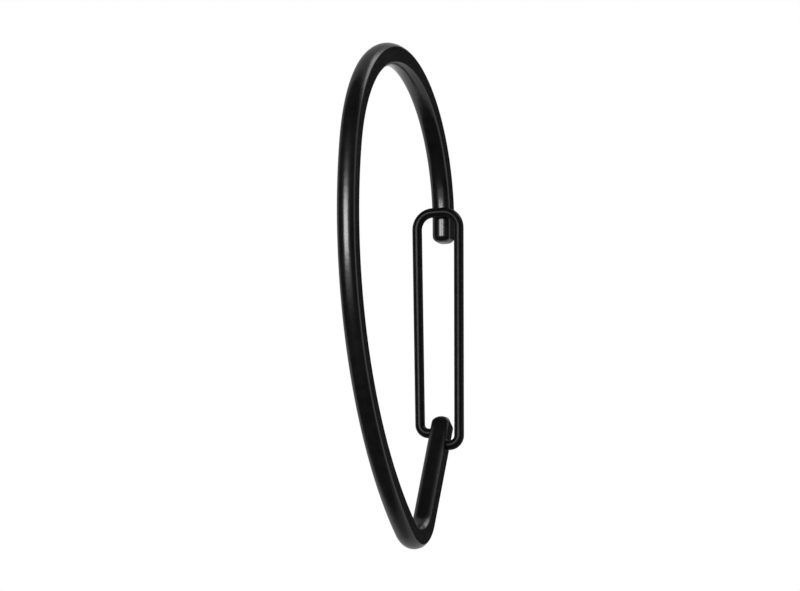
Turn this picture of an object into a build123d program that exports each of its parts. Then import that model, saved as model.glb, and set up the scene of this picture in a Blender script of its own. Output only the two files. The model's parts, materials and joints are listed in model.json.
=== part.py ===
from build123d import *
import math
import os

# Shower curtain hook: an open pear-shaped ring of flat-sided bar, closed by a sprung wire gate.
# The ring lies in the YZ plane with its wide end up, its front limb at -Y and its mouth at +Y.
# X runs across the bar. The origin is the top of the ring's inside, the point that the hook hangs by.
# Millimetres. Angles are in degrees, counted from +Z towards +Y.

# Bar of the ring: flat flanks, with edges that bulge to the inside and the outside of the ring
bar_width = 2.95
bar_depth = 3.7
edge_bulge = 0.7
tip_rounding = 1.0

# Centre line of the ring: three arcs, each tangent to the next
ring_height = 75.8
top_radius = 22.5
front_radius = 52.1
bottom_radius = 6.6

# Straight ends of the ring: the nose runs on from the top arc, the lower limb from the bottom arc
nose_angle = 98.0
nose_length = 3.2
limb_lean = 36.8
limb_length = 20.0

# Spring wire of the gate
wire_diameter = 1.55
crown_spread = 7.0
knee_spread = 6.9
crown_bend_radius = 2.6
knee_bend_radius = 1.5
crown_overlap = 4.6
crown_clearance = 0.1

# Pivots: the wire's ends enter opposite flanks of the lower limb, staggered along it
upper_pivot_setback = 2.4
pivot_stagger = 2.65
pivot_clearance = 0.05
pivot_floor = 0.8
pin_end_gap = 0.2
free_end_gap = 0.1

half_width = bar_width / 2
half_depth = bar_depth / 2
wire_radius = wire_diameter / 2


def outward(angle):
    """Direction in the YZ plane at an angle."""
    turn = math.radians(angle)
    return Vector(0, math.sin(turn), math.cos(turn))


def angle_of(direction):
    """Angle of a direction in the YZ plane."""
    return math.degrees(math.atan2(direction.Y, direction.Z))


# Centres of the top and bottom arcs
top_centre = Vector(0, 0, half_depth - top_radius)
bottom_centre = Vector(0, 0, half_depth - ring_height + bottom_radius)

# Centre of the front arc, which is tangent to both from inside
centre_drop = top_centre.Z - bottom_centre.Z
reach_to_top = front_radius - top_radius
reach_to_bottom = front_radius - bottom_radius
front_drop = (reach_to_top**2 - reach_to_bottom**2 + centre_drop**2) / (2 * centre_drop)
front_setback = math.sqrt(reach_to_top**2 - front_drop**2)
front_centre = Vector(0, front_setback, top_centre.Z - front_drop)

# Angles at which the arcs meet, and at which the lower limb leaves the bottom arc
front_top_angle = angle_of(top_centre - front_centre)
front_bottom_angle = angle_of(bottom_centre - front_centre) + 360
limb_angle = limb_lean + 90

# Straight ends of the centre line: where each starts, and the way it runs
nose_start = top_centre + outward(nose_angle) * top_radius
nose_way = outward(nose_angle + 90)
limb_start = bottom_centre + outward(limb_angle) * bottom_radius
limb_way = outward(limb_lean)
limb_tip = limb_start + limb_way * limb_length

# Pivots of the gate: the upper one is at -X, the lower one, at +X, is the hinge
upper_pivot = limb_tip - limb_way * upper_pivot_setback
lower_pivot = upper_pivot - limb_way * pivot_stagger
pivot_hole_radius = wire_radius + pivot_clearance
pivot_hole_depth = bar_width - pivot_floor

# Crown of the gate: it lies against the inside of the nose
crown_radius = top_radius - half_depth - wire_radius - crown_clearance
crown_angle = nose_angle - math.degrees((crown_overlap - nose_length) / top_radius)
crown = top_centre + outward(crown_angle) * crown_radius


def bar_section(place, way):
    """Cross section of the bar at a point of the centre line, facing the way it runs."""
    flank_end = half_depth - edge_bulge
    flank = Line((half_width, -flank_end), (half_width, flank_end))
    edge = ThreePointArc((half_width, flank_end), (0, half_depth), (-half_width, flank_end))
    half_outline = flank + edge
    outline = half_outline + Rot(0, 0, 180) * half_outline
    return Plane(origin=place, x_dir=(1, 0, 0), z_dir=way) * make_face(outline.edges())


def bar_arc(centre, radius, start, end):
    """Bar bent round a centre, between two angles of its centre line."""
    section = bar_section(centre + outward(start) * radius, outward(start + 90))
    return revolve(section, Axis(centre, (-1, 0, 0)), end - start)


def bar_end(start, way, length):
    """Straight end of the bar, with a rounded tip."""
    end = extrude(bar_section(start, way), length)
    tip_face = end.faces().sort_by_distance(start + way * length)[0]
    return fillet(tip_face.edges(), tip_rounding)


def pivot_hole(place, side):
    """Blind hole in one flank of the lower limb, from outside the flank to its floor."""
    overshoot = half_width
    length = pivot_hole_depth + overshoot
    middle_x = side * (half_width - pivot_hole_depth + length / 2)
    return Pos(middle_x, place.Y, place.Z) * Cylinder(pivot_hole_radius, length, rotation=(0, 90, 0))


def make_ring_body():
    """Ring of bent bar, with the two pivot holes of the gate in its lower limb."""
    ring = bar_arc(top_centre, top_radius, front_top_angle, nose_angle)
    ring += bar_arc(front_centre, front_radius, front_bottom_angle, front_top_angle + 360)
    ring += bar_arc(bottom_centre, bottom_radius, limb_angle, front_bottom_angle)
    ring += bar_end(nose_start, nose_way, nose_length)
    ring += bar_end(limb_start, limb_way, limb_length)
    ring -= pivot_hole(lower_pivot, 1)
    ring -= pivot_hole(upper_pivot, -1)
    return ring


def make_gate_wire():
    """Gate bent from one wire: hinge pin, leg, crown, leg and the free inward end."""
    pin_end_x = half_width - pivot_hole_depth + pin_end_gap
    free_end_x = -half_width - free_end_gap
    corners = [
        (pin_end_x, lower_pivot.Y, lower_pivot.Z),
        (knee_spread / 2, lower_pivot.Y, lower_pivot.Z),
        (crown_spread / 2, crown.Y, crown.Z),
        (-crown_spread / 2, crown.Y, crown.Z),
        (-knee_spread / 2, upper_pivot.Y, upper_pivot.Z),
        (free_end_x, upper_pivot.Y, upper_pivot.Z),
    ]
    bends = [knee_bend_radius, crown_bend_radius, crown_bend_radius, knee_bend_radius]
    centre_line = FilletPolyline(*corners, radius=bends)
    start_plane = Plane(origin=corners[0], z_dir=(1, 0, 0))
    return sweep(start_plane * Circle(wire_radius), centre_line)


os.makedirs("parts", exist_ok=True)
export_step(make_ring_body(), "parts/ring_body.step")
export_step(make_gate_wire(), "parts/gate_wire.step")
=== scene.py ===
import json
import logging
import math
from dataclasses import dataclass, field
from enum import Enum

import bmesh
import bpy
from mathutils import Matrix, Quaternion, Vector


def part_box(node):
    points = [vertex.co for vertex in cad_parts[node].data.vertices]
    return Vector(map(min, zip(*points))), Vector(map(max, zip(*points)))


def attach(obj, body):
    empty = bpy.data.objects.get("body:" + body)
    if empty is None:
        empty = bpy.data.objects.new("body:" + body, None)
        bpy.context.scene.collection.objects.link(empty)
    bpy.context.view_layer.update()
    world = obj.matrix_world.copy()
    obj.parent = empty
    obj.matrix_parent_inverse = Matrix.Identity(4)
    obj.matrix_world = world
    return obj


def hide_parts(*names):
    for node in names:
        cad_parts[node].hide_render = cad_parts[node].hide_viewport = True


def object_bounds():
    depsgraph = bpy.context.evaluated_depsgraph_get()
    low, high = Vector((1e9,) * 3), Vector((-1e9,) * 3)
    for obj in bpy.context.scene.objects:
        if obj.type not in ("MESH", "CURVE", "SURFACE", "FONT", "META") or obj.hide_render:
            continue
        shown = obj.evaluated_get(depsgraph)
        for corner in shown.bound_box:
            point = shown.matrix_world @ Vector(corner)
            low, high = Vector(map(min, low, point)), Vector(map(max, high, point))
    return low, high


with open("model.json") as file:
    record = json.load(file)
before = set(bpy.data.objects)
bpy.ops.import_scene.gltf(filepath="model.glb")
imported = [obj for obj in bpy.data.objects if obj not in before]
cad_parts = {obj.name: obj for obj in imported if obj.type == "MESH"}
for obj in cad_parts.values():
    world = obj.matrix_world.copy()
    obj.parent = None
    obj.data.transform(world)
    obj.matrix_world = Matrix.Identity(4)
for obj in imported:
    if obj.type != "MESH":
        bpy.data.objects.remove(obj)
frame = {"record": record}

LOG = logging.getLogger("curtain_hook")
CAD_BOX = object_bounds()
MM = 0.001
MERGE_DISTANCE = 0.0001 * MM
RIGHT_ANGLE = 90.0
FULL_TURN = 360.0
ACROSS = Vector((1.0, 0.0, 0.0))
Z_AXIS = Vector((0.0, 0.0, 1.0))
ROUND_PROFILE = 0.5
UNIT_SQUARE_SIZE = 0.5


class Body(Enum):
    """Bodies of the hook that move on their own."""

    RING = "ring"
    GATE = "gate"


class Slot(Enum):
    """Material slots of the hook."""

    RING_COAT = "ring_coat"
    GATE_COAT = "gate_coat"


class End(Enum):
    """The two ends that a length of stock can be drawn from."""

    FIRST = 0
    LAST = 1


def outward(angle: float) -> Vector:
    """Gives a direction in the plane of the ring.

    Args:
        angle: Angle from +Z towards +Y, in degrees.

    Returns:
        The unit vector at that angle.
    """
    turn = math.radians(angle)
    return Vector((0.0, math.sin(turn), math.cos(turn)))


def angle_of(direction: Vector) -> float:
    """Gives the angle of a direction in the plane of the ring.

    Args:
        direction: Any vector in the YZ plane.

    Returns:
        Its angle from +Z towards +Y, in degrees.
    """
    return math.degrees(math.atan2(direction.y, direction.z))


def direction_to(azimuth: float, elevation: float) -> Vector:
    """Gives the direction from the hook to a viewpoint.

    Args:
        azimuth: Angle from -Y towards +X, in degrees.
        elevation: Angle above the horizon, in degrees.

    Returns:
        The unit vector to the viewpoint.
    """
    turn, rise = math.radians(azimuth), math.radians(elevation)
    return Vector((math.sin(turn) * math.cos(rise), -math.cos(turn) * math.cos(rise), math.sin(rise)))


def add_noise(tree: bpy.types.NodeTree, size: float, detail: float) -> bpy.types.NodeSocket:
    """Adds a noise on object coordinates to a material.

    Args:
        tree: Nodes of the material.
        size: Size of the noise's largest grains.
        detail: Number of finer layers.

    Returns:
        The value of the noise.
    """
    places = tree.nodes.new("ShaderNodeTexCoord")
    texture = tree.nodes.new("ShaderNodeTexNoise")
    texture.inputs["Scale"].default_value = 1.0 / size
    texture.inputs["Detail"].default_value = detail
    tree.links.new(places.outputs["Object"], texture.inputs["Vector"])
    return texture.outputs["Fac"]


class Stock:
    """Bar or wire of one section, drawn out of its two end faces by straight runs and bends."""

    def __init__(self, outline: list[Vector]) -> None:
        """Starts the stock as a single face.

        Args:
            outline: Corners of the section, in order.
        """
        self.mesh = bmesh.new()
        corners = [self.mesh.verts.new(point) for point in outline]
        face = self.mesh.faces.new(corners)
        self.ends: dict[End, bmesh.types.BMFace] = {End.FIRST: face, End.LAST: face}

    def round_corners(self, corners: list[int], rounding: float, segments: int) -> None:
        """Rounds corners of the section, before anything is drawn out of it.

        Args:
            corners: Indices of the corners in the outline.
            rounding: Length of each edge that the rounding takes up.
            segments: Number of segments of each rounding.
        """
        self.mesh.verts.ensure_lookup_table()
        bmesh.ops.bevel(
            self.mesh,
            geom=[self.mesh.verts[corner] for corner in corners],
            offset=rounding,
            offset_type="OFFSET",
            segments=segments,
            profile=ROUND_PROFILE,
            affect="VERTICES",
            material=-1,
        )
        face = self.mesh.faces[:][0]
        self.ends = {End.FIRST: face, End.LAST: face}

    def _grip(self, end: End) -> list:
        """Gives the end face of the stock with its edges and corners."""
        face = self.ends[end]
        return [face, *face.edges, *face.verts]

    def _release(self, end: End, made: list) -> bmesh.types.BMFace:
        """Notes the new end face among what an operator made there, and gives it."""
        self.ends[end] = next(item for item in made if isinstance(item, bmesh.types.BMFace))
        return self.ends[end]

    def straight(self, end: End, run: Vector) -> bmesh.types.BMFace:
        """Draws an end straight on.

        Args:
            end: The end to draw.
            run: Direction and length of the run.

        Returns:
            The new end face.
        """
        made = bmesh.ops.extrude_face_region(self.mesh, geom=self._grip(end))["geom"]
        face = self._release(end, made)
        bmesh.ops.translate(self.mesh, verts=face.verts[:], vec=run)
        return face

    def bend(self, end: End, centre: Vector, axis: Vector, angle: float, step: float) -> None:
        """Bends an end round an axis.

        Args:
            end: The end to draw.
            centre: Point on the axis.
            axis: Direction of the axis.
            angle: Turn, in degrees.
            step: Largest turn of one segment, in degrees.
        """
        made = bmesh.ops.spin(
            self.mesh,
            geom=self._grip(end),
            cent=centre,
            axis=axis,
            angle=math.radians(angle),
            steps=math.ceil(abs(angle) / step),
        )["geom_last"]
        self._release(end, made)

    def round_tip(self, end: End, way: Vector, rounding: float, half_sizes: Vector, steps: int) -> None:
        """Closes an end with a rounded tip.

        Args:
            end: The end to close.
            way: Unit vector along which the stock runs there.
            rounding: Radius of the rounding, and the length that it adds.
            half_sizes: Half the section across X, and half of it square to X.
            steps: Number of segments of the rounding.
        """
        turn_upright = way.rotation_difference(Z_AXIS).to_matrix().to_4x4()
        shares = Vector((1.0, 1.0))
        advance = 0.0
        for step in range(1, steps + 1):
            angle = math.radians(RIGHT_ANGLE * step / steps)
            reach = rounding * math.sin(angle)
            face = self.straight(end, way * (reach - advance))
            advance = reach
            inset = rounding * (1.0 - math.cos(angle))
            wanted = Vector((1.0 - inset / half_sizes.x, 1.0 - inset / half_sizes.y))
            centre = face.calc_center_bounds()
            bmesh.ops.scale(
                self.mesh,
                vec=(wanted.x / shares.x, wanted.y / shares.y, 1.0),
                space=turn_upright @ Matrix.Translation(-centre),
                verts=face.verts[:],
            )
            shares = wanted

    def follow(
        self, end: End, start: Vector, corners: list[Vector], radii: list[float], step: float
    ) -> None:
        """Draws an end along straight runs that are joined by bends.

        Args:
            end: The end to draw.
            start: Point at which the end is now.
            corners: Points that the runs aim at, the last of them the new end.
            radii: Bend radius at each corner but the last.
            step: Largest turn of one segment, in degrees.
        """
        place = start
        for corner, following, radius in zip(corners, corners[1:], radii):
            way = (corner - place).normalized()
            next_way = (following - corner).normalized()
            turn = way.angle(next_way)
            taken = radius * math.tan(turn / 2)
            bend_start = corner - way * taken
            self.straight(end, bend_start - place)
            sideways = (next_way - way * way.dot(next_way)).normalized()
            centre = bend_start + sideways * radius
            axis = way.cross(next_way).normalized()
            self.bend(end, centre, axis, math.degrees(turn), step)
            place = corner + next_way * taken
        self.straight(end, corners[-1] - place)

    def finish(self, name: str) -> bpy.types.Object:
        """Turns the stock into a smooth object.

        Args:
            name: Name of the object.

        Returns:
            The new object, in the scene.
        """
        bmesh.ops.remove_doubles(self.mesh, verts=self.mesh.verts[:], dist=MERGE_DISTANCE)
        bmesh.ops.recalc_face_normals(self.mesh, faces=self.mesh.faces[:])
        for face in self.mesh.faces:
            face.smooth = True
        data = bpy.data.meshes.new(name)
        self.mesh.to_mesh(data)
        self.mesh.free()
        piece = bpy.data.objects.new(name, data)
        bpy.context.scene.collection.objects.link(piece)
        normals = piece.modifiers.new("even_normals", "WEIGHTED_NORMAL")
        normals.keep_sharp = True
        return piece


@dataclass(frozen=True)
class SatinCoat:
    """Satin black coating: a smooth film with a slight orange peel and a fine grain."""

    slot: Slot
    gloss_roughness: float
    dull_roughness: float
    refraction: float
    peel_size: float
    peel_height: float
    peel_detail: float = 1.0
    grain_size: float = 0.12 * MM
    grain_height: float = 0.001 * MM
    grain_detail: float = 2.0
    drift_size: float = 14.0 * MM
    drift_detail: float = 3.0
    shade_spread: float = 0.35
    shade_size_in_peels: float = 2.0
    shade_detail: float = 4.0
    noise_low: float = 0.3
    noise_high: float = 0.7

    def colour(self) -> Vector:
        """Gives the coating's colour from the record."""
        slots = {entry["slot"]: entry for entry in frame["record"]["materials"]}
        return Vector(slots[self.slot.value]["base_color"])

    def roughness(self, tree: bpy.types.NodeTree) -> bpy.types.NodeSocket:
        """Makes the roughness, which drifts slowly over the surface.

        Args:
            tree: Nodes of the material.

        Returns:
            The roughness.
        """
        spread = tree.nodes.new("ShaderNodeMapRange")
        spread.inputs["From Min"].default_value = self.noise_low
        spread.inputs["From Max"].default_value = self.noise_high
        spread.inputs["To Min"].default_value = self.gloss_roughness
        spread.inputs["To Max"].default_value = self.dull_roughness
        drift = add_noise(tree, self.drift_size, self.drift_detail)
        tree.links.new(drift, spread.inputs["Value"])
        return spread.outputs["Result"]

    def shade(self, tree: bpy.types.NodeTree) -> bpy.types.NodeSocket:
        """Makes the colour, which is mottled a little lighter and darker.

        Args:
            tree: Nodes of the material.

        Returns:
            The colour.
        """
        colour = self.colour()
        tint = tree.nodes.new("ShaderNodeValToRGB")
        darker, lighter = tint.color_ramp.elements
        darker.position = self.noise_low
        darker.color = (*(colour * (1.0 - self.shade_spread)), 1.0)
        lighter.position = self.noise_high
        lighter.color = (*(colour * (1.0 + self.shade_spread)), 1.0)
        mottle = add_noise(tree, self.peel_size * self.shade_size_in_peels, self.shade_detail)
        tree.links.new(mottle, tint.inputs["Fac"])
        return tint.outputs["Color"]

    def relief(self, tree: bpy.types.NodeTree) -> bpy.types.NodeSocket:
        """Makes the relief: the orange peel, with the grain on it.

        Args:
            tree: Nodes of the material.

        Returns:
            The normal of the surface with its relief.
        """
        peel = tree.nodes.new("ShaderNodeBump")
        peel.inputs["Strength"].default_value = 1.0
        peel.inputs["Distance"].default_value = self.peel_height
        tree.links.new(add_noise(tree, self.peel_size, self.peel_detail), peel.inputs["Height"])
        grain = tree.nodes.new("ShaderNodeBump")
        grain.inputs["Strength"].default_value = 1.0
        grain.inputs["Distance"].default_value = self.grain_height
        tree.links.new(add_noise(tree, self.grain_size, self.grain_detail), grain.inputs["Height"])
        tree.links.new(peel.outputs["Normal"], grain.inputs["Normal"])
        return grain.outputs["Normal"]

    def material(self) -> bpy.types.Material:
        """Makes the coating's material.

        Returns:
            A node material on object coordinates.
        """
        made = bpy.data.materials.new(self.slot.value)
        made.use_nodes = True
        tree = made.node_tree
        shader = tree.nodes["Principled BSDF"]
        shader.inputs["IOR"].default_value = self.refraction
        tree.links.new(self.roughness(tree), shader.inputs["Roughness"])
        tree.links.new(self.shade(tree), shader.inputs["Base Color"])
        tree.links.new(self.relief(tree), shader.inputs["Normal"])
        return made


@dataclass
class RingBody:
    """Ring of bent bar with flat flanks: top arc, front arc, bottom arc and two straight ends."""

    bar_depth: float = 3.7 * MM
    edge_bulge: float = 0.7 * MM
    edge_segments: int = 14
    crease_rounding: float = 0.3 * MM
    crease_segments: int = 5
    tip_rounding: float = 1.0 * MM
    tip_steps: int = 10
    top_radius: float = 22.5 * MM
    top_step: float = 2.0
    front_radius: float = 52.1 * MM
    front_step: float = 1.0
    bottom_radius: float = 6.6 * MM
    bottom_step: float = 3.0
    nose_angle: float = 98.0
    nose_length: float = 3.2 * MM
    limb_lean: float = 36.8
    limb_length: float = 20.0 * MM
    upper_pivot_setback: float = 2.4 * MM
    pivot_stagger: float = 2.65 * MM
    hole_radius: float = 0.825 * MM
    hole_floor: float = 0.8 * MM
    hole_rim: float = 0.07 * MM
    hole_segments_per_quarter: int = 10
    land: float = 0.98 * MM
    land_border: float = 0.05 * MM
    finish: SatinCoat = SatinCoat(
        slot=Slot.RING_COAT,
        gloss_roughness=0.2,
        dull_roughness=0.26,
        refraction=1.55,
        peel_size=0.9 * MM,
        peel_height=0.013 * MM,
    )
    bar_width: float = field(init=False)
    top_centre: Vector = field(init=False)
    bottom_centre: Vector = field(init=False)
    front_centre: Vector = field(init=False)

    def __post_init__(self) -> None:
        """Takes the bar's width and the ring's height from the frame, and works out the arc centres."""
        low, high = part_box("ring_body")
        self.bar_width = high.x - low.x
        self.top_centre = Vector((0.0, 0.0, high.z - self.bar_depth / 2 - self.top_radius))
        self.bottom_centre = Vector((0.0, 0.0, low.z + self.bar_depth / 2 + self.bottom_radius))
        drop = self.top_centre.z - self.bottom_centre.z
        to_top = self.front_radius - self.top_radius
        to_bottom = self.front_radius - self.bottom_radius
        front_drop = (to_top**2 - to_bottom**2 + drop**2) / (2 * drop)
        setback = math.sqrt(to_top**2 - front_drop**2)
        self.front_centre = Vector((0.0, setback, self.top_centre.z - front_drop))

    @property
    def limb_angle(self) -> float:
        """Angle at which the lower limb leaves the bottom arc, and at which its outer edge faces."""
        return self.limb_lean + RIGHT_ANGLE

    @property
    def limb_start(self) -> Vector:
        """Point where the bottom arc ends and the lower limb starts."""
        return self.bottom_centre + outward(self.limb_angle) * self.bottom_radius

    @property
    def lower_pivot_setback(self) -> float:
        """Distance of the lower pivot from the tip of the lower limb."""
        return self.upper_pivot_setback + self.pivot_stagger

    @property
    def upper_pivot(self) -> Vector:
        """Point of the limb's centre line under the hole in the flank at -X."""
        return self.on_limb(self.upper_pivot_setback)

    @property
    def lower_pivot(self) -> Vector:
        """Point of the limb's centre line under the hole in the flank at +X."""
        return self.on_limb(self.lower_pivot_setback)

    def on_limb(self, setback: float) -> Vector:
        """Gives the point of the lower limb's centre line at a distance from its tip."""
        return self.limb_start + outward(self.limb_lean) * (self.limb_length - setback)

    def section(self, place: Vector, square: Vector) -> tuple[list[Vector], list[int]]:
        """Works out the bar's section.

        Args:
            place: Point of the centre line.
            square: Unit vector from the centre line to the outer edge of the bar.

        Returns:
            The corners of the section, and the indices of the four creases among them.
        """
        half_width = self.bar_width / 2
        crease = self.bar_depth / 2 - self.edge_bulge
        edge_radius = (half_width**2 + self.edge_bulge**2) / (2 * self.edge_bulge)
        half_turn = math.asin(half_width / edge_radius)
        corners: list[Vector] = []
        creases: list[int] = []
        for side in (1.0, -1.0):
            corners.append(place + (ACROSS * half_width - square * self.land) * side)
            corners.append(place + (ACROSS * half_width + square * self.land) * side)
            for index in range(self.edge_segments + 1):
                turn = half_turn * (1.0 - 2.0 * index / self.edge_segments)
                rise = crease + edge_radius * (math.cos(turn) - math.cos(half_turn))
                corners.append(place + (ACROSS * (edge_radius * math.sin(turn)) + square * rise) * side)
                if index in (0, self.edge_segments):
                    creases.append(len(corners) - 1)
        return corners, creases

    @staticmethod
    def rim_turn(forward: float, aside: float) -> float:
        """Works out which point of a circle a point on the border of a square goes to.

        Args:
            forward: First coordinate of the point, from the square's middle.
            aside: Its second coordinate.

        Returns:
            The turn from the first direction to the second, in radians.
        """
        half_side = math.radians(RIGHT_ANGLE / 2)
        if abs(forward) >= abs(aside):
            return half_side * aside / forward + (0.0 if forward > 0 else math.pi)
        return math.radians(RIGHT_ANGLE) - half_side * forward / aside + (0.0 if aside > 0 else math.pi)

    def drill(self, stock: Stock, pivot: Vector, side: float) -> None:
        """Sinks a blind hole with a broken rim into one flank of the lower limb.

        Args:
            stock: The bar.
            pivot: Point of the limb's centre line under the hole.
            side: Sign of X of the flank.
        """
        mesh = stock.mesh
        centre = pivot + ACROSS * (side * self.bar_width / 2)
        land = min(mesh.faces, key=lambda face: (face.calc_center_median() - centre).length)
        bmesh.ops.bisect_edges(mesh, edges=land.edges[:], cuts=self.hole_segments_per_quarter - 1)
        bmesh.ops.inset_individual(mesh, faces=[land], thickness=self.land_border)
        along = outward(self.limb_lean)
        square = outward(self.limb_angle)
        rim_radius = self.hole_radius + self.hole_rim
        for vert in land.verts:
            offset = vert.co - centre
            turn = self.rim_turn(offset.dot(along), offset.dot(square))
            vert.co = centre + (along * math.cos(turn) + square * math.sin(turn)) * rim_radius
        bmesh.ops.inset_individual(mesh, faces=[land], thickness=self.hole_rim, depth=-self.hole_rim)
        made = bmesh.ops.extrude_discrete_faces(mesh, faces=[land])["faces"]
        depth = self.bar_width - self.hole_floor - self.hole_rim
        bmesh.ops.translate(mesh, verts=made[0].verts[:], vec=ACROSS * (-side * depth))

    def build(self) -> bpy.types.Object:
        """Bends the bar from its lower limb to its nose, rounds both tips and drills the pivots.

        Returns:
            The ring.
        """
        limb_way = outward(self.limb_lean)
        outline, creases = self.section(self.limb_start, outward(self.limb_angle))
        stock = Stock(outline)
        stock.round_corners(creases, self.crease_rounding, self.crease_segments)
        half_sizes = Vector((self.bar_width / 2, self.bar_depth / 2))

        setback = self.limb_length
        stops = [
            pivot_setback + shift
            for pivot_setback in (self.lower_pivot_setback, self.upper_pivot_setback)
            for shift in (self.land, -self.land)
        ]
        for stop in [*stops, self.tip_rounding]:
            stock.straight(End.LAST, limb_way * (setback - stop))
            setback = stop
        stock.round_tip(End.LAST, limb_way, self.tip_rounding, half_sizes, self.tip_steps)

        front_bottom = angle_of(self.bottom_centre - self.front_centre) + FULL_TURN
        front_top = angle_of(self.top_centre - self.front_centre) + FULL_TURN
        nose = self.nose_angle + FULL_TURN
        for centre, turn, step in (
            (self.bottom_centre, front_bottom - self.limb_angle, self.bottom_step),
            (self.front_centre, front_top - front_bottom, self.front_step),
            (self.top_centre, nose - front_top, self.top_step),
        ):
            stock.bend(End.FIRST, centre, -ACROSS, turn, step)
        nose_way = outward(self.nose_angle + RIGHT_ANGLE)
        stock.straight(End.FIRST, nose_way * (self.nose_length - self.tip_rounding))
        stock.round_tip(End.FIRST, nose_way, self.tip_rounding, half_sizes, self.tip_steps)

        self.drill(stock, self.lower_pivot, 1.0)
        self.drill(stock, self.upper_pivot, -1.0)
        ring = stock.finish("ring_bar")
        ring.data.materials.append(self.finish.material())
        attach(ring, Body.RING.value)
        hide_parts("ring_body")
        return ring


@dataclass
class GateWire:
    """Gate bent from one spring wire: hinge pin, leg, crown, leg and free inward end."""

    ring: RingBody
    wire_diameter: float = 1.55 * MM
    wire_segments: int = 32
    crown_spread: float = 7.0 * MM
    knee_spread: float = 6.9 * MM
    crown_bend_radius: float = 2.6 * MM
    knee_bend_radius: float = 1.5 * MM
    bend_step: float = 5.0
    crown_overlap: float = 4.6 * MM
    crown_clearance: float = 0.1 * MM
    pin_end_gap: float = 0.2 * MM
    free_end_gap: float = 0.1 * MM
    end_rounding: float = 0.2 * MM
    end_steps: int = 4
    finish: SatinCoat = SatinCoat(
        slot=Slot.GATE_COAT,
        gloss_roughness=0.24,
        dull_roughness=0.29,
        refraction=1.2,
        peel_size=0.7 * MM,
        peel_height=0.01 * MM,
    )

    def crown(self) -> Vector:
        """Works out where the crown lies against the inside of the nose.

        Returns:
            The middle of the crown.
        """
        ring = self.ring
        radius = ring.top_radius - ring.bar_depth / 2 - self.wire_diameter / 2 - self.crown_clearance
        setback = math.degrees((self.crown_overlap - ring.nose_length) / ring.top_radius)
        return ring.top_centre + outward(ring.nose_angle - setback) * radius

    def build(self) -> bpy.types.Object:
        """Bends the wire from its hinge pin to its free end.

        Returns:
            The gate.
        """
        ring = self.ring
        half_bar = ring.bar_width / 2
        radius = self.wire_diameter / 2
        lower, upper, crown = ring.lower_pivot, ring.upper_pivot, self.crown()
        pin_end = lower + ACROSS * (ring.hole_floor + self.pin_end_gap - half_bar)
        free_end = upper - ACROSS * (half_bar + self.free_end_gap)
        start = pin_end + ACROSS * self.end_rounding
        corners = [
            lower + ACROSS * (self.knee_spread / 2),
            crown + ACROSS * (self.crown_spread / 2),
            crown - ACROSS * (self.crown_spread / 2),
            upper - ACROSS * (self.knee_spread / 2),
            free_end - ACROSS * self.end_rounding,
        ]
        bends = [self.knee_bend_radius, self.crown_bend_radius, self.crown_bend_radius, self.knee_bend_radius]
        turns = [FULL_TURN * index / self.wire_segments for index in range(self.wire_segments)]
        stock = Stock([start + outward(turn) * radius for turn in turns])
        stock.follow(End.LAST, start, corners, bends, self.bend_step)
        half_sizes = Vector((radius, radius))
        stock.round_tip(End.LAST, ACROSS, self.end_rounding, half_sizes, self.end_steps)
        stock.round_tip(End.FIRST, -ACROSS, self.end_rounding, half_sizes, self.end_steps)
        gate = stock.finish("gate_spring")
        gate.data.materials.append(self.finish.material())
        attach(gate, Body.GATE.value)
        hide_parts("gate_wire")
        return gate


@dataclass(frozen=True)
class Softbox:
    """Rectangular lamp that faces the hook."""

    name: str
    azimuth: float
    elevation: float
    distance: float
    width: float
    height: float
    brightness: float

    def build(self, target: Vector) -> bpy.types.Object:
        """Makes the lamp.

        Args:
            target: Point that the lamp faces.

        Returns:
            The lamp, in the scene.
        """
        data = bpy.data.lights.new(self.name, "AREA")
        data.shape = "RECTANGLE"
        data.size = self.width
        data.size_y = self.height
        data.energy = self.brightness * math.pi * self.width * self.height
        lamp = bpy.data.objects.new(self.name, data)
        back = direction_to(self.azimuth, self.elevation)
        lamp.location = target + back * self.distance
        lamp.rotation_mode = "QUATERNION"
        lamp.rotation_quaternion = (-back).to_track_quat("-Z", "Y")
        bpy.context.scene.collection.objects.link(lamp)
        return lamp


@dataclass(frozen=True)
class DarkCard:
    """Matt black card that only the bar's gloss sees: a painted dark reflection, so that the coating looks
    black there.
    """

    name: str
    azimuth: float
    elevation: float
    distance: float
    width: float
    height: float
    shade: float = 0.02

    def build(self, target: Vector) -> bpy.types.Object:
        """Makes the card, which no camera, diffuse light or shadow sees, so that it shows only as a painted
        dark reflection.

        Args:
            target: Point that the card faces.

        Returns:
            The card.
        """
        back = direction_to(self.azimuth, self.elevation)
        facing = (-back).to_track_quat("Z", "Y").to_matrix().to_4x4()
        size = Matrix.Diagonal((self.width, self.height, 1.0, 1.0))
        mesh = bmesh.new()
        bmesh.ops.create_grid(
            mesh,
            x_segments=1,
            y_segments=1,
            size=UNIT_SQUARE_SIZE,
            matrix=Matrix.Translation(target + back * self.distance) @ facing @ size,
        )
        data = bpy.data.meshes.new(self.name)
        mesh.to_mesh(data)
        mesh.free()
        card = bpy.data.objects.new(self.name, data)
        bpy.context.scene.collection.objects.link(card)
        # Hidden from camera, diffuse light and shadows: the card is only a painted dark reflection in the
        # gloss.
        card.visible_camera = False
        card.visible_diffuse = False
        card.visible_shadow = False
        data.materials.append(self.material())
        return card

    def material(self) -> bpy.types.Material:
        """Makes the card's material.

        Returns:
            A matt black material without gloss.
        """
        made = bpy.data.materials.new("matt_black_card")
        made.use_nodes = True
        shader = made.node_tree.nodes["Principled BSDF"]
        shader.inputs["Base Color"].default_value = (self.shade, self.shade, self.shade, 1.0)
        shader.inputs["Roughness"].default_value = 1.0
        shader.inputs["Specular IOR Level"].default_value = 0.0
        return made


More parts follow.
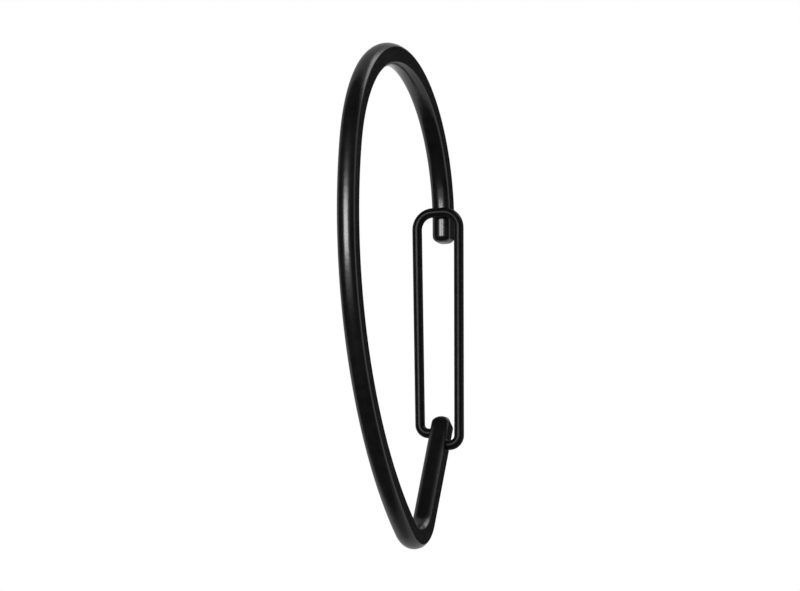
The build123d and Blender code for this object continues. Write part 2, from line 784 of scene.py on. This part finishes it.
@dataclass(frozen=True)
class SurroundPatch:
    """Round patch of the surround that is brighter or darker than the rest."""

    azimuth: float
    elevation: float
    reach: float
    fade: float
    shade: float

    def lay_over(self, tree: bpy.types.NodeTree, shade: bpy.types.NodeSocket | float) -> bpy.types.NodeSocket:
        """Lays the patch over the surround.

        Args:
            tree: Nodes of the world.
            shade: Brightness of the surround without the patch.

        Returns:
            The brightness with the patch.
        """
        places = tree.nodes.new("ShaderNodeTexCoord")
        nearness = tree.nodes.new("ShaderNodeVectorMath")
        nearness.operation = "DOT_PRODUCT"
        nearness.inputs[1].default_value = direction_to(self.azimuth, self.elevation)
        tree.links.new(places.outputs["Generated"], nearness.inputs[0])
        share = tree.nodes.new("ShaderNodeMapRange")
        share.interpolation_type = "SMOOTHSTEP"
        share.inputs["From Min"].default_value = math.cos(math.radians(self.reach + self.fade))
        share.inputs["From Max"].default_value = math.cos(math.radians(self.reach))
        tree.links.new(nearness.outputs["Value"], share.inputs["Value"])
        blend = tree.nodes.new("ShaderNodeMix")
        blend.data_type = "FLOAT"
        tree.links.new(share.outputs["Result"], blend.inputs["Factor"])
        if isinstance(shade, float):
            blend.inputs["A"].default_value = shade
        else:
            tree.links.new(shade, blend.inputs["A"])
        blend.inputs["B"].default_value = self.shade
        return blend.outputs["Result"]


@dataclass
class Studio:
    """Thin pale floor far below the hook, a pale surround, two softboxes and five dark cards that paint dark
    reflections.
    """

    floor_drop: float = 0.38
    floor_radius: float = 2.4
    floor_segments: int = 96
    floor_fade: float = 2.0
    floor_shade: float = 0.75
    floor_veil: float = 0.6
    surround_shade: float = 0.35
    patches: tuple[SurroundPatch, ...] = (
        SurroundPatch(azimuth=0.0, elevation=-90.0, reach=92.0, fade=30.0, shade=0.75),
        SurroundPatch(azimuth=199.0, elevation=3.0, reach=8.0, fade=10.0, shade=1.0),
    )
    # Painted dark reflections: cards that only the hook's gloss sees.
    cards: tuple[DarkCard, ...] = (
        DarkCard("flank_card", azimuth=160.0, elevation=3.0, distance=0.7, width=0.4, height=0.5),
        DarkCard("under_card", azimuth=0.0, elevation=-55.0, distance=0.35, width=1.6, height=0.75),
        DarkCard("over_card", azimuth=-10.0, elevation=64.0, distance=0.5, width=1.5, height=0.64),
        DarkCard("right_card", azimuth=53.0, elevation=8.0, distance=0.6, width=0.55, height=0.5),
        DarkCard("left_card", azimuth=-57.0, elevation=8.0, distance=0.6, width=0.6, height=0.5),
    )
    lamps: tuple[Softbox, ...] = (
        Softbox(
            "key_softbox",
            azimuth=-4.0,
            elevation=14.8,
            distance=1.0,
            width=0.62,
            height=0.36,
            brightness=12.0,
        ),
        Softbox(
            "back_softbox",
            azimuth=135.0,
            elevation=45.0,
            distance=1.2,
            width=0.7,
            height=0.6,
            brightness=2.5,
        ),
    )

    def build(self) -> None:
        """Makes the floor, the surround, the cards and the lamps."""
        low, high = CAD_BOX
        centre = (low + high) / 2
        self.lay_floor(low.z - self.floor_drop)
        self.light_surround()
        for card in self.cards:
            card.build(centre)
        for lamp in self.lamps:
            lamp.build(centre)

    def lay_floor(self, level: float) -> bpy.types.Object:
        """Makes the floor, a thin sheet that fades out towards its rim and is clear from below.

        Args:
            level: Height of the floor.

        Returns:
            The floor.
        """
        mesh = bmesh.new()
        bmesh.ops.create_circle(mesh, cap_ends=True, segments=self.floor_segments, radius=self.floor_radius)
        bmesh.ops.translate(mesh, verts=mesh.verts[:], vec=(0.0, 0.0, level))
        data = bpy.data.meshes.new("floor")
        mesh.to_mesh(data)
        mesh.free()
        floor = bpy.data.objects.new("floor", data)
        bpy.context.scene.collection.objects.link(floor)
        data.materials.append(self.floor_material())
        return floor

    def floor_material(self) -> bpy.types.Material:
        """Makes the floor's material.

        Returns:
            A pale matt material, partly clear, that turns clear at the rim and on its lower side.
        """
        made = bpy.data.materials.new("pale_floor")
        made.use_nodes = True
        nodes = made.node_tree.nodes
        links = made.node_tree.links
        nodes.clear()
        matt = nodes.new("ShaderNodeBsdfDiffuse")
        matt.inputs["Color"].default_value = (self.floor_shade, self.floor_shade, self.floor_shade, 1.0)
        clear = nodes.new("ShaderNodeBsdfTransparent")
        places = nodes.new("ShaderNodeTexCoord")
        flat = nodes.new("ShaderNodeVectorMath")
        flat.operation = "MULTIPLY"
        flat.inputs[1].default_value = (1.0, 1.0, 0.0)
        links.new(places.outputs["Object"], flat.inputs[0])
        reach = nodes.new("ShaderNodeVectorMath")
        reach.operation = "LENGTH"
        links.new(flat.outputs["Vector"], reach.inputs[0])
        fade = nodes.new("ShaderNodeMapRange")
        fade.inputs["From Min"].default_value = self.floor_radius - self.floor_fade
        fade.inputs["From Max"].default_value = self.floor_radius
        fade.inputs["To Min"].default_value = self.floor_veil
        links.new(reach.outputs["Value"], fade.inputs["Value"])
        side = nodes.new("ShaderNodeNewGeometry")
        hidden = nodes.new("ShaderNodeMath")
        hidden.operation = "MAXIMUM"
        links.new(fade.outputs["Result"], hidden.inputs[0])
        links.new(side.outputs["Backfacing"], hidden.inputs[1])
        blend = nodes.new("ShaderNodeMixShader")
        links.new(hidden.outputs["Value"], blend.inputs["Fac"])
        links.new(matt.outputs["BSDF"], blend.inputs[1])
        links.new(clear.outputs["BSDF"], blend.inputs[2])
        output = nodes.new("ShaderNodeOutputMaterial")
        links.new(blend.outputs["Shader"], output.inputs["Surface"])
        return made

    def light_surround(self) -> None:
        """Makes the surround, one pale shade apart from its patches."""
        world = bpy.data.worlds.new("surround")
        world.use_nodes = True
        bpy.context.scene.world = world
        tree = world.node_tree
        shade: bpy.types.NodeSocket | float = self.surround_shade
        for patch in self.patches:
            shade = patch.lay_over(tree, shade)
        background = tree.nodes["Background"]
        tree.links.new(shade, background.inputs["Color"])
        background.inputs["Strength"].default_value = 1.0


@dataclass
class Viewpoint:
    """Camera that sees the hook from its front, a little from the right and from below."""

    azimuth: float = 18.7
    elevation: float = -3.0
    roll: float = -2.85
    distance: float = 1.5
    fill: float = 0.86
    image_width: int = 800
    image_height: int = 591
    nearest: float = 0.1
    farthest: float = 10.0

    def build(self) -> bpy.types.Object:
        """Makes the camera and gives it to the scene.

        Returns:
            The camera.
        """
        low, high = CAD_BOX
        target = (low + high) / 2
        data = bpy.data.cameras.new("photo_camera")
        shown_height = (high.z - low.z) / self.fill
        shown_width = shown_height * self.image_width / self.image_height
        data.lens = data.sensor_width * self.distance / shown_width
        data.clip_start = self.nearest
        data.clip_end = self.farthest
        camera = bpy.data.objects.new("photo_camera", data)
        back = direction_to(self.azimuth, self.elevation)
        camera.location = target + back * self.distance
        camera.rotation_mode = "QUATERNION"
        level = (-back).to_track_quat("-Z", "Y")
        camera.rotation_quaternion = level @ Quaternion(Z_AXIS, math.radians(self.roll))
        bpy.context.scene.collection.objects.link(camera)
        bpy.context.scene.camera = camera
        return camera


def main() -> None:
    """Builds the hook, its studio and its viewpoint."""
    logging.basicConfig(level=logging.INFO, format="%(name)s: %(message)s")
    bpy.context.scene.view_settings.view_transform = "Standard"
    ring = RingBody()
    for piece in (ring.build(), GateWire(ring).build()):
        LOG.info("%s has %d faces", piece.name, len(piece.data.polygons))
    Studio().build()
    Viewpoint().build()


if __name__ == "__main__":
    main()
